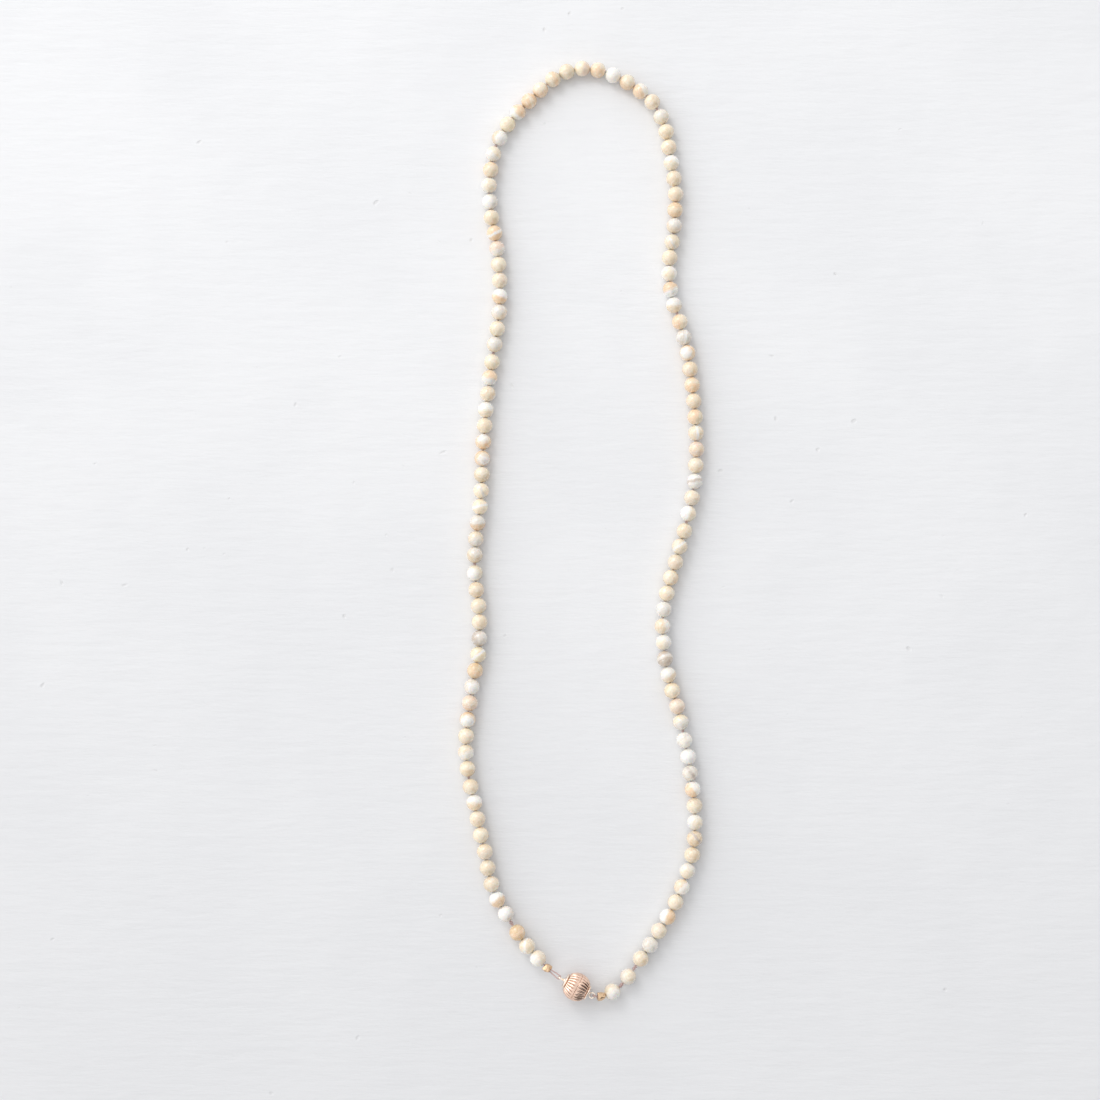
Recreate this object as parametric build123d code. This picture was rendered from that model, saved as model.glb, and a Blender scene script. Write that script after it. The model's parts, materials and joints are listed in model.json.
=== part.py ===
from build123d import *
import math
import os

# A knotted strand of round shell beads, closed into a loop by a magnetic ball clasp.
# Millimetres. The loop lies flat: Z is up, z = 0 is the surface it rests on, the clasp is at -Y.
# Beads are counted along the thread from the left half of the clasp round to the right half.

# Beads
BEAD_DIAMETER = 4.0
BEAD_HOLE_DIAMETER = 0.7
HOLE_CHAMFER = 0.08
BEAD_COUNT = 120
BEADS_PER_NODE = 4

# Thread and the knots tied in it
THREAD_DIAMETER = 0.4
KNOT_DIAMETER = 0.9
KNOTS_AFTER = (12, 25, 38, 51, 64, 77, 90, 103)
END_KNOTS_AFTER = (3, 118, 119)

# Room between neighbouring beads
BEAD_GAP = 0.065
BEND_GAP = 0.20
KNOT_GAP = 0.50
END_KNOT_GAP = 1.40

# The strand bends between rigid links of eight beads
BEADS_PER_LINK = 8
LINK_COUNT = BEAD_COUNT // BEADS_PER_LINK
PIVOT_DIAMETER = 0.5
PIVOT_CLEARANCE = 0.08

# Crimps
CRIMP_DIAMETER = 2.1
CRIMP_LENGTH = 1.8
CRIMP_CHAMFER = 0.3
CRIMP_BORE_DIAMETER = 0.56
CRIMP_BORE_DEPTH = 1.2
LEFT_CRIMP_TO_BEAD = 0.45
RIGHT_CRIMP_TO_BEAD = 0.20

# Ball clasp: each half is built with its own axis along +Z and the seam at z = 0
CLASP_CENTRE = (-1.5, -114.2, 3.45)
CLASP_TURN = -28.5
BALL_RADIUS = 3.45
SEAM_HALF_GAP = 0.04
SHELL_WALL = 0.40
HOLLOW_DEPTH = 2.20
CAP_SEAT = 2.66
CAP_RADIUS = 1.85
CAP_THICKNESS = 0.44
CAP_ROUNDING = 0.12
STEM_RADIUS = 0.55
STEM_HOLE_RADIUS = 0.60
BOSS_RADIUS = 0.50
BOSS_HEIGHT = 0.70
RING_RADIUS = 0.65
RING_WIRE_RADIUS = 0.20
RING_CENTRE = 4.35
CUP_RADIUS = 2.40
CUP_WALL = 0.45
CUP_TOP = 0.10
CUP_FLOOR = 1.75
CUP_FLANGE_RADIUS = 3.00
CUP_FLANGE_THICKNESS = 0.22
MAGNET_RADIUS = 1.90
MAGNET_TOP = 0.06
MAGNET_FLOOR = 1.33

# Thread loops through the clasp rings
LOOP_HALF_WIDTH = 0.52
LOOP_CORNER_RADIUS = 0.44
LEFT_LOOP_LEG = 0.28
RIGHT_LOOP_LEG = 0.46

# Route of the thread, from the left clasp ring round the loop to the right clasp ring
ROUTE = [
    (-5.9, -111.8, 3.4),
    (-11.8, -107.3, 2.2),
    (-17.3, -99.3, 2.0),
    (-22.4, -91.2, 2.0),
    (-25.3, -75.5, 2.0),
    (-29.5, -58.0, 2.0),
    (-28.0, -43.0, 2.0),
    (-24.7, -27.5, 2.0),
    (-27.4, -10.0, 2.0),
    (-25.2, 6.0, 2.0),
    (-24.9, 21.0, 2.0),
    (-23.1, 38.5, 2.0),
    (-20.2, 56.0, 2.0),
    (-21.2, 70.5, 2.0),
    (-24.0, 84.0, 2.0),
    (-21.8, 98.5, 2.0),
    (-12.5, 109.0, 2.0),
    (-2.5, 117.2, 2.0),
    (9.5, 114.5, 2.0),
    (20.2, 106.2, 2.0),
    (22.7, 93.5, 2.0),
    (24.3, 80.0, 2.0),
    (21.1, 62.0, 2.0),
    (26.5, 45.8, 2.0),
    (28.5, 29.5, 2.0),
    (29.0, 13.0, 2.0),
    (25.0, -4.5, 2.0),
    (20.3, -18.5, 2.0),
    (20.0, -33.0, 2.0),
    (24.6, -49.0, 2.0),
    (27.1, -62.8, 2.0),
    (28.5, -77.5, 2.0),
    (24.6, -91.3, 2.0),
    (17.4, -103.4, 2.0),
    (12.0, -111.0, 2.0),
    (8.9, -114.95, 2.15),
    (5.0, -116.6, 2.8),
    (2.95, -116.4, 3.45),
]
ARC_SHARE = 0.45
FIRST_BEAD_AT = 6.85


def corner_radii(points):
    """The largest smooth arc at each corner: it takes ARC_SHARE of the shorter run."""
    radii = []
    for before, corner, after in zip(points, points[1:], points[2:]):
        inward = Vector(corner) - Vector(before)
        outward = Vector(after) - Vector(corner)
        half_turn = math.radians(inward.get_angle(outward)) / 2
        shorter = min(inward.length, outward.length)
        radii.append(ARC_SHARE * shorter / math.tan(half_turn))
    return radii


def thread_path(points):
    """Straight runs joined by tangent arcs."""
    return FilletPolyline(*points, radius=corner_radii(points)).wire()


def gap_after(bead):
    """Room between this bead and the next one."""
    if bead in END_KNOTS_AFTER:
        return END_KNOT_GAP
    if bead in KNOTS_AFTER:
        return KNOT_GAP
    if bead % BEADS_PER_LINK == 0:
        return BEND_GAP
    return BEAD_GAP


def bead_distances():
    """Distance of each bead's centre along the thread."""
    distances = [FIRST_BEAD_AT]
    for bead in range(1, BEAD_COUNT):
        distances.append(distances[-1] + BEAD_DIAMETER + gap_after(bead))
    return distances


def between(distances, bead):
    """Distance of the middle of the gap after a bead."""
    return (distances[bead - 1] + distances[bead]) / 2


def plane_at(path, distance):
    """A plane square to the thread, its normal pointing along it."""
    origin = path.position_at(distance, position_mode=PositionMode.LENGTH)
    tangent = path.tangent_at(distance, position_mode=PositionMode.LENGTH)
    return Plane(origin=origin, z_dir=tangent)


def bead_plane(path, distance):
    """The plane of a bead: the thread may curve a little inside it, so its hole takes the mean line."""
    half_hole = 0.45 * BEAD_DIAMETER
    entry = path.position_at(distance - half_hole, position_mode=PositionMode.LENGTH)
    middle = path.position_at(distance, position_mode=PositionMode.LENGTH)
    leaving = path.position_at(distance + half_hole, position_mode=PositionMode.LENGTH)
    return Plane(origin=(entry + 2 * middle + leaving) / 4, z_dir=leaving - entry)


def bead():
    """A round bead drilled through, with both mouths of the hole broken."""
    radius = BEAD_DIAMETER / 2
    hole_radius = BEAD_HOLE_DIAMETER / 2
    mouth_height = math.sqrt(radius**2 - hole_radius**2)
    mouth = Cone(hole_radius, hole_radius + 2 * HOLE_CHAMFER, 2 * HOLE_CHAMFER)
    solid = Sphere(radius) - Cylinder(hole_radius, 2 * BEAD_DIAMETER)
    solid -= Pos(0, 0, mouth_height) * mouth
    solid -= Pos(0, 0, -mouth_height) * Rot(180, 0, 0) * mouth
    return solid.solid()


def thread_length(path, start, end, radius):
    """One stretch of thread as a round tube."""
    stretch = path.trim(start / path.length, end / path.length)
    section = Plane(origin=stretch @ 0, z_dir=stretch % 0) * Circle(radius)
    return sweep(section, path=stretch)


def knot(path, distance, length):
    """A knot: one ball, or two side by side where the gap is long."""
    ball = Sphere(KNOT_DIAMETER / 2)
    half_spread = max(0.0, length - KNOT_DIAMETER) / 2
    solid = plane_at(path, distance - half_spread) * ball
    if half_spread > 0:
        solid += plane_at(path, distance + half_spread) * ball
    return solid


def link_thread(path, distances, link):
    """The thread of one link: it ends in a ball on the bend's axis, or inside a crimp."""
    first = link * BEADS_PER_LINK + 1
    last = first + BEADS_PER_LINK - 1
    if link == 0:
        start = distances[0] - BEAD_DIAMETER / 2 - LEFT_CRIMP_TO_BEAD - CRIMP_BORE_DEPTH
    else:
        start = between(distances, first - 1) + pivot_radius(first - 1) + PIVOT_CLEARANCE
    if link == LINK_COUNT - 1:
        end = distances[-1] + BEAD_DIAMETER / 2 + RIGHT_CRIMP_TO_BEAD + CRIMP_BORE_DEPTH
    else:
        end = between(distances, last)
    solid = thread_length(path, start, end, THREAD_DIAMETER / 2)
    for place in range(first, last):
        if place in KNOTS_AFTER:
            solid += knot(path, between(distances, place), KNOT_DIAMETER)
        if place in END_KNOTS_AFTER:
            solid += knot(path, between(distances, place), END_KNOT_GAP - 2 * BEAD_GAP)
    if link < LINK_COUNT - 1:
        solid += plane_at(path, end) * Sphere(pivot_radius(last))
    return solid.solid()


def pivot_radius(bead_before):
    """Radius of the ball on a bend's axis: a knot where there is one, else a thickened thread end."""
    return (KNOT_DIAMETER if bead_before in KNOTS_AFTER else PIVOT_DIAMETER) / 2


def crimp():
    """A crushed crimp: its bore opens towards +Z, where the strand goes in."""
    solid = Cylinder(CRIMP_DIAMETER / 2, CRIMP_LENGTH)
    solid = chamfer(solid.edges(), CRIMP_CHAMFER)
    top = CRIMP_LENGTH / 2
    bore = Pos(0, 0, top - CRIMP_BORE_DEPTH / 2) * Cylinder(CRIMP_BORE_DIAMETER / 2, CRIMP_BORE_DEPTH)
    return (solid - bore).solid()


def turned(radius, low, high):
    """A disc or plug on the axis from low to high."""
    return Pos(0, 0, (low + high) / 2) * Cylinder(radius, high - low)


def clasp_shell():
    """Half of the ball: hollow from the seam, cut flat at the pole for the end cap."""
    outside = Sphere(BALL_RADIUS) & turned(2 * BALL_RADIUS, SEAM_HALF_GAP, CAP_SEAT)
    hollow = Sphere(BALL_RADIUS - SHELL_WALL) & turned(2 * BALL_RADIUS, -1, HOLLOW_DEPTH)
    return (outside - hollow - turned(STEM_HOLE_RADIUS, 0, 2 * BALL_RADIUS)).solid()


def ring_shape():
    """The clasp's ring, standing on the axis."""
    return Pos(0, 0, RING_CENTRE) * Rot(90, 0, 0) * Torus(RING_RADIUS, RING_WIRE_RADIUS)


def end_cap():
    """A polished flange on the pole, with a stem in the shell and a boss that holds the ring."""
    flange = turned(CAP_RADIUS, CAP_SEAT, CAP_SEAT + CAP_THICKNESS)
    flange = fillet(flange.edges(), CAP_ROUNDING)
    top = CAP_SEAT + CAP_THICKNESS
    stem = turned(STEM_RADIUS, HOLLOW_DEPTH, CAP_SEAT)
    boss = turned(BOSS_RADIUS, top, top + BOSS_HEIGHT)
    return (flange + stem + boss - ring_shape()).solid()


def magnet_cup():
    """The steel cup that holds the magnet, with a flange just inside the seam."""
    solid = turned(CUP_RADIUS, CUP_TOP, CUP_FLOOR)
    solid += turned(CUP_FLANGE_RADIUS, CUP_TOP, CUP_TOP + CUP_FLANGE_THICKNESS)
    return (solid - turned(CUP_RADIUS - CUP_WALL, 0, CUP_FLOOR - CUP_WALL + 0.04)).solid()


def magnet():
    """The disc magnet."""
    return turned(MAGNET_RADIUS, MAGNET_TOP, MAGNET_FLOOR).solid()


def thread_loop(path, at_ring, at_crimp, side, leg):
    """The thread's loop through a clasp ring: two legs out of the crimp and a turn round the wire."""
    ring_point = path.position_at(at_ring, position_mode=PositionMode.LENGTH)
    crimp_point = path.position_at(at_crimp, position_mode=PositionMode.LENGTH)
    outward = (crimp_point - ring_point).normalized()
    inner = ring_point - outward * LOOP_HALF_WIDTH
    route = FilletPolyline(
        crimp_point + side * leg,
        inner + side * LOOP_HALF_WIDTH,
        inner - side * LOOP_HALF_WIDTH,
        crimp_point - side * leg,
        radius=LOOP_CORNER_RADIUS,
    ).wire()
    section = Plane(origin=route @ 0, z_dir=route % 0) * Circle(THREAD_DIAMETER / 2)
    return sweep(section, path=route).solid()


def export_node(name, shape):
    export_step(shape, os.path.join("parts", name + ".step"))


def export_strand(path, distances):
    """Beads in fours, and one thread per link."""
    one_bead = bead()
    for group in range(BEAD_COUNT // BEADS_PER_NODE):
        places = distances[group * BEADS_PER_NODE:(group + 1) * BEADS_PER_NODE]
        beads = [bead_plane(path, place) * one_bead for place in places]
        export_node(f"beads_{group + 1:02d}", Compound(beads))
    for link in range(LINK_COUNT):
        export_node(f"thread_{link + 1:02d}", link_thread(path, distances, link))


def export_clasp_half(side_name, outward, ring_side):
    """One half of the clasp; the ring stands in the plane of the axis and ring_side."""
    placed = Plane(origin=CLASP_CENTRE, x_dir=ring_side, z_dir=outward)
    pieces = {
        "clasp_shell": clasp_shell(),
        "clasp_end_cap": end_cap(),
        "clasp_ring": ring_shape().solid(),
        "magnet_cup": magnet_cup(),
        "magnet": magnet(),
    }
    for name, solid in pieces.items():
        export_node(f"{name}_{side_name}", placed * solid)


def export_ends(path, distances):
    """The crimps and the thread loops that tie the strand to the clasp."""
    left = distances[0] - (BEAD_DIAMETER + CRIMP_LENGTH) / 2 - LEFT_CRIMP_TO_BEAD
    right = distances[-1] + (BEAD_DIAMETER + CRIMP_LENGTH) / 2 + RIGHT_CRIMP_TO_BEAD
    export_node("crimp_left", plane_at(path, left) * crimp())
    export_node("crimp_right", plane_at(path, right) * Rot(180, 0, 0) * crimp())
    left_face = left - CRIMP_LENGTH / 2
    right_face = right + CRIMP_LENGTH / 2
    up = Vector(0, 0, 1)
    across = path.tangent_at(0).cross(up).normalized()
    upright = path.tangent_at(1).cross(up).cross(path.tangent_at(1)).normalized()
    export_node("thread_loop_left", thread_loop(path, 0, left_face, across, LEFT_LOOP_LEG))
    export_node("thread_loop_right", thread_loop(path, path.length, right_face, upright, RIGHT_LOOP_LEG))


def clasp_axis():
    """The clasp's axis, pointing from the left half to the right half."""
    turn = math.radians(CLASP_TURN)
    return Vector(math.cos(turn), math.sin(turn), 0)


def print_bends(path, distances):
    """Where the bends' axes cross the thread, and the thread's direction there."""
    for link in range(1, LINK_COUNT):
        distance = between(distances, link * BEADS_PER_LINK)
        plane = plane_at(path, distance)
        place = ", ".join(f"{value:.3f}" for value in plane.origin)
        direction = ", ".join(f"{value:.4f}" for value in plane.z_dir)
        print(f"bend after bead {link * BEADS_PER_LINK}: at {place}, along {direction}")


os.makedirs("parts", exist_ok=True)
strand_path = thread_path(ROUTE)
bead_places = bead_distances()
print(f"thread length {strand_path.length:.1f}, arc radii:", [round(r, 1) for r in corner_radii(ROUTE)])
export_strand(strand_path, bead_places)
export_ends(strand_path, bead_places)
export_clasp_half("left", -clasp_axis(), Vector(0, 0, 1))
export_clasp_half("right", clasp_axis(), clasp_axis().cross(Vector(0, 0, 1)))
print_bends(strand_path, bead_places)
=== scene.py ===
"""The looks of the bead necklace: a knotted strand of shell beads with a fluted magnetic ball clasp."""

import json
import math
import random

import bpy
from mathutils import Matrix, Vector, noise

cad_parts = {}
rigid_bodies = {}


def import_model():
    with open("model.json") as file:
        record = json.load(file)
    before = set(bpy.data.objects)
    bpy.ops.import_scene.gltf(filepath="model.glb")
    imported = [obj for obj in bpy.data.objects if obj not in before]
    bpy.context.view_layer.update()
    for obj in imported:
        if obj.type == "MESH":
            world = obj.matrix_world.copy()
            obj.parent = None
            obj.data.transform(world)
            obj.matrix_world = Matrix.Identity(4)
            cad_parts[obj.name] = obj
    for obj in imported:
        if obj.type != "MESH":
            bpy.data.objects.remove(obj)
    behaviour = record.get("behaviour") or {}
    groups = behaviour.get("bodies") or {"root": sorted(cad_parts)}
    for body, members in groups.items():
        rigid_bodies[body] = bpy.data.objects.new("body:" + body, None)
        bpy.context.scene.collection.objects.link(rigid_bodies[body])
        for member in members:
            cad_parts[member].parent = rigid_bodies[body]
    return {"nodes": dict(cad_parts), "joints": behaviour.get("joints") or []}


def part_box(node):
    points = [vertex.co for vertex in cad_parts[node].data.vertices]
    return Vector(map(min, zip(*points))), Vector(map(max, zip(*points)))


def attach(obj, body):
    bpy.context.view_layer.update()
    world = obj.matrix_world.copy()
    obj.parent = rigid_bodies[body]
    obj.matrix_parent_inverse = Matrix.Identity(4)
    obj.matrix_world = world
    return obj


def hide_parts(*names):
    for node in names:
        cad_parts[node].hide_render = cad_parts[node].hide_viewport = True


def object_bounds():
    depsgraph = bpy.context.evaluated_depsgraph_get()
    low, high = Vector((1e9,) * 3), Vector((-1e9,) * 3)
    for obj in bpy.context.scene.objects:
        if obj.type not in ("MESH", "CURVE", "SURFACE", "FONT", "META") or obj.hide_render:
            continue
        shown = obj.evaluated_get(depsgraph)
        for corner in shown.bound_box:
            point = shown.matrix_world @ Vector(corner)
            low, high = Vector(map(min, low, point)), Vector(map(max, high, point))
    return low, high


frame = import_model()
cad_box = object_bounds()

MM = 0.001
UP = Vector((0, 0, 1))

# ---------------------------------------------------------------- sizes, in metres

BEAD_RADIUS = 2.0 * MM
HOLE_RADIUS = 0.35 * MM
HOLE_EDGE = 0.07 * MM
BEAD_PLAY = 0.10 * MM
BEAD_COUNT = 120
BEADS_PER_NODE = 4
BEADS_PER_LINK = 8
LINK_COUNT = BEAD_COUNT // BEADS_PER_LINK

BEAD_PITCH = 4.0 * MM
BEAD_GAP = 0.065 * MM
BEND_GAP = 0.20 * MM
KNOT_GAP = 0.50 * MM
END_KNOT_GAP = 1.40 * MM
KNOTS_AFTER = (12, 25, 38, 51, 64, 77, 90, 103)
END_KNOTS_AFTER = (3, 118, 119)

THREAD_RADIUS = 0.20 * MM
THREAD_LAY = 1.5 * MM
CRIMP_RADIUS = 1.08 * MM
CRIMP_LENGTH = 1.85 * MM
CRIMP_BORE_DEPTH = 1.2 * MM

BALL_RADIUS = 3.45 * MM
SEAM = 0.04 * MM
CAP_SEAT = 2.66 * MM
RING_CENTRE = 4.35 * MM
RING_RADIUS = 0.65 * MM
RING_WIRE = 0.20 * MM
FLUTES = 24
FLUTE_DEPTH = 0.25 * MM
SHELL_INNER_RADIUS = 3.05 * MM
SHELL_HOLLOW = 2.20 * MM
FLANGE_RADIUS = 1.92 * MM
FLANGE_RIM = 0.22 * MM
NECK_RADIUS = 1.40 * MM
NECK_HEIGHT = 0.15 * MM
STEM_RADIUS = 0.55 * MM
STEM_END = 2.22 * MM
AXIS_GAP = 0.02 * MM

# How fine the meshes are
BEAD_SEGMENTS = 56
BEAD_ARC_POINTS = 35
SHELL_ARC_POINTS = 34
SEGMENTS_PER_FLUTE = 12
CAP_SEGMENTS = 72
RING_SEGMENTS = 72
RING_SIDES = 20
CRIMP_SEGMENTS = 64
KNOT_POINTS = 66

# How hard the pliers press: the share of each flat that is pushed in
CRUSH = 0.92

# The thread's route from the left clasp ring round to the right one
ROUTE = [
    (-0.0059, -0.1118, 0.0034),
    (-0.0118, -0.1073, 0.0022),
    (-0.0173, -0.0993, 0.0020),
    (-0.0224, -0.0912, 0.0020),
    (-0.0253, -0.0755, 0.0020),
    (-0.0295, -0.0580, 0.0020),
    (-0.0280, -0.0430, 0.0020),
    (-0.0247, -0.0275, 0.0020),
    (-0.0274, -0.0100, 0.0020),
    (-0.0252, 0.0060, 0.0020),
    (-0.0249, 0.0210, 0.0020),
    (-0.0231, 0.0385, 0.0020),
    (-0.0202, 0.0560, 0.0020),
    (-0.0212, 0.0705, 0.0020),
    (-0.0240, 0.0840, 0.0020),
    (-0.0218, 0.0985, 0.0020),
    (-0.0125, 0.1090, 0.0020),
    (-0.0025, 0.1172, 0.0020),
    (0.0095, 0.1145, 0.0020),
    (0.0202, 0.1062, 0.0020),
    (0.0227, 0.0935, 0.0020),
    (0.0243, 0.0800, 0.0020),
    (0.0211, 0.0620, 0.0020),
    (0.0265, 0.0458, 0.0020),
    (0.0285, 0.0295, 0.0020),
    (0.0290, 0.0130, 0.0020),
    (0.0250, -0.0045, 0.0020),
    (0.0203, -0.0185, 0.0020),
    (0.0200, -0.0330, 0.0020),
    (0.0246, -0.0490, 0.0020),
    (0.0271, -0.0628, 0.0020),
    (0.0285, -0.0775, 0.0020),
    (0.0246, -0.0913, 0.0020),
    (0.0174, -0.1034, 0.0020),
    (0.0120, -0.1110, 0.0020),
    (0.0089, -0.11495, 0.00215),
    (0.0050, -0.1166, 0.0028),
    (0.00295, -0.1164, 0.00345),
]

# The beads' shell tones, as linear colours
TONES = {
    "W": (0.885, 0.87, 0.835),
    "C": (0.865, 0.77, 0.615),
    "Y": (0.875, 0.77, 0.57),
    "B": (0.825, 0.72, 0.585),
    "G": (0.77, 0.73, 0.67),
    "T": (0.825, 0.70, 0.53),
    "H": (0.81, 0.62, 0.40),
    "O": (0.85, 0.65, 0.45),
    "P": (0.84, 0.69, 0.565),
    "D": (0.60, 0.53, 0.465),
}

# One entry per bead from the left end of the clasp: its main tone, then how the second tone lies in it
# ("|" a half across, "/" a streak, "-" a band, "." a patch) and that second tone
BEAD_LOOKS = """
    W|B C/W H-O G.W O|W T.C C-T T.B T.C C.T
    T|W T.C T-C W|T Y.C O.W P-B G.W H-O Y/W
    D.G C.T C-B T-B C.W T.G B.G O|G C/W C/G
    T.C O.W O.W C.T C|W B.T W|O Y.C C.G Y.C
    B.G O|W C.B T.C W|P O/W C|T G.W W.C O.T
    W|C T|W Y.C W|O O/C O.C C-O C-T C|P C|O
    W.W O.C W|O B.T C.G C.T C|T W|C B.T C|T
    O-T B.G C/G C.T W.C O|W W|T C|O G/W O.W
    T.B O-T B.T C|O C/W P-T T.C W/D B.C C|W
    C|T C/W C.B T.C T-C W.G W|T W.C D/G W|T
    T.C P-B C|G W/G W.W G/D W|O B|C W.C T/D
    C.T W.C W|T C.C O|W C.B W.G C.T G.C C.W
""".split()

# ---------------------------------------------------------------- the thread's line


def route_curve():
    """The route as a smooth NURBS curve."""
    curve = bpy.data.curves.new("strand_route", "CURVE")
    curve.dimensions = "3D"
    spline = curve.splines.new("NURBS")
    spline.points.add(len(ROUTE) - 1)
    for point, place in zip(spline.points, ROUTE):
        point.co = (*place, 1.0)
    spline.order_u = 3
    spline.use_endpoint_u = True
    spline.resolution_u = 40
    return curve


class Line:
    """Points along a curve, with places and directions by distance from its start."""

    def __init__(self, points):
        self.points = points
        self.distances = [0.0]
        for before, after in zip(points, points[1:]):
            self.distances.append(self.distances[-1] + (after - before).length)
        self.length = self.distances[-1]

    def at(self, distance):
        distance = min(max(distance, 0.0), self.length)
        low, high = 0, len(self.points) - 1
        while high - low > 1:
            middle = (low + high) // 2
            if self.distances[middle] <= distance:
                low = middle
            else:
                high = middle
        share = (distance - self.distances[low]) / (self.distances[high] - self.distances[low])
        return self.points[low].lerp(self.points[high], share)

    def direction(self, distance, reach=0.4 * MM):
        return (self.at(distance + reach) - self.at(distance - reach)).normalized()

    def nearest(self, place):
        """Distance along the line of its nearest point to a place."""
        best_gap, best_distance = None, 0.0
        for index in range(len(self.points) - 1):
            start, step = self.points[index], self.points[index + 1] - self.points[index]
            share = min(max((place - start).dot(step) / step.length_squared, 0.0), 1.0)
            gap = (place - start - step * share).length
            if best_gap is None or gap < best_gap:
                best_gap, best_distance = gap, self.distances[index] + share * step.length
        return best_distance


def read_line(curve):
    holder = bpy.data.objects.new("route_reader", curve)
    bpy.context.scene.collection.objects.link(holder)
    mesh = bpy.data.meshes.new_from_object(holder)
    points = [vertex.co.copy() for vertex in mesh.vertices]
    bpy.data.objects.remove(holder)
    bpy.data.meshes.remove(mesh)
    return Line(points)


strand = read_line(route_curve())


def link_name(link):
    return f"link_{link:02d}"


def joint_between(parent, child):
    return next(j for j in frame["joints"] if {j["parent"], j["child"]} == {parent, child})


def gap_after(bead):
    if bead in END_KNOTS_AFTER:
        return END_KNOT_GAP
    if bead in KNOTS_AFTER:
        return KNOT_GAP
    if bead % BEADS_PER_LINK == 0:
        return BEND_GAP
    return BEAD_GAP


def bend_distances():
    """Where the bends between links lie along the thread: entry n is the bend after link n."""
    distances = {}
    for link in range(1, LINK_COUNT):
        joint = joint_between(link_name(link), link_name(link + 1))
        distances[link] = strand.nearest(Vector(joint["pos_m"]))
    return distances


def bead_distances(bends):
    """Where each bead's centre lies along the thread. A link's beads fill the stretch between its bends."""
    distances = {}
    for link in range(1, LINK_COUNT + 1):
        first = (link - 1) * BEADS_PER_LINK + 1
        steps = [gap_after(first - 1) / 2 + BEAD_PITCH / 2 if link > 1 else 0.0]
        for bead in range(first, first + BEADS_PER_LINK - 1):
            steps.append(steps[-1] + BEAD_PITCH + gap_after(bead))
        last_step = steps[-1] + BEAD_PITCH / 2 + gap_after(first + BEADS_PER_LINK - 1) / 2
        start, scale = bends.get(link - 1), 1.0
        if link == 1:
            start = bends[1] - last_step
        elif link < LINK_COUNT:
            scale = (bends[link] - bends[link - 1]) / last_step
        for offset, step in enumerate(steps):
            distances[first + offset] = start + step * scale
    return distances


bends = bend_distances()
bead_places = bead_distances(bends)

# ---------------------------------------------------------------- mesh helpers


def new_piece(name, verts, faces, material, body, replaces):
    """A mesh object in the row frame that rides on a body and stands for CAD nodes."""
    mesh = bpy.data.meshes.new(name)
    mesh.from_pydata(verts, [], faces)
    mesh.validate()
    mesh.polygons.foreach_set("use_smooth", [True] * len(mesh.polygons))
    mesh.materials.append(material)
    piece = bpy.data.objects.new(name, mesh)
    bpy.context.scene.collection.objects.link(piece)
    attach(piece, body)
    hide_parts(*replaces)
    return piece


def set_attribute(piece, name, kind, values):
    """Stores one value per vertex; values is a list of floats or of vectors."""
    attribute = piece.data.attributes.new(name, kind, "POINT")
    if kind == "FLOAT":
        attribute.data.foreach_set("value", values)
    elif kind == "FLOAT_VECTOR":
        attribute.data.foreach_set("vector", [x for value in values for x in value])
    else:
        attribute.data.foreach_set("color", [x for value in values for x in (*value, 1.0)])


def side_frame(direction):
    """Two unit vectors square to a direction, the second as upright as it can be."""
    side = direction.cross(UP)
    if side.length < 1e-3:
        side = Vector((1, 0, 0))
    side.normalize()
    return side, side.cross(direction).normalized()


def grid_faces(rows, columns, close_rows=False):
    """Quads between rows of points, each row closed on itself."""
    faces = []
    for row in range(rows if close_rows else rows - 1):
        above = (row + 1) % rows
        for column in range(columns):
            beside = (column + 1) % columns
            faces.append((row * columns + column, row * columns + beside,
                          above * columns + beside, above * columns + column))
    return faces


def lathe(profile, segments, shape=None):
    """Verts and faces of a closed profile turned about the local Z axis. A profile point is (radius, height);
    shape(angle, index, radius) may change a point's radius."""
    verts = []
    for index, (radius, height) in enumerate(profile):
        for segment in range(segments):
            angle = math.tau * segment / segments
            reach = shape(angle, index, radius) if shape else radius
            verts.append(Vector((reach * math.cos(angle), reach * math.sin(angle), height)))
    return verts, grid_faces(len(profile), segments, close_rows=True)


def placed(verts, origin, z_axis, x_axis):
    """Local points put in place, with their Z and X axes as given."""
    z_axis = z_axis.normalized()
    x_axis = (x_axis - z_axis * x_axis.dot(z_axis)).normalized()
    y_axis = z_axis.cross(x_axis)
    return [origin + x_axis * v.x + y_axis * v.y + z_axis * v.z for v in verts]


def arc(centre, radius, start, end, count):
    """Profile points on a circle, by angle in degrees from the radial direction."""
    angles = [math.radians(start + (end - start) * step / (count - 1)) for step in range(count)]
    return [(centre[0] + radius * math.cos(a), centre[1] + radius * math.sin(a)) for a in angles]


# ---------------------------------------------------------------- materials


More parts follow.
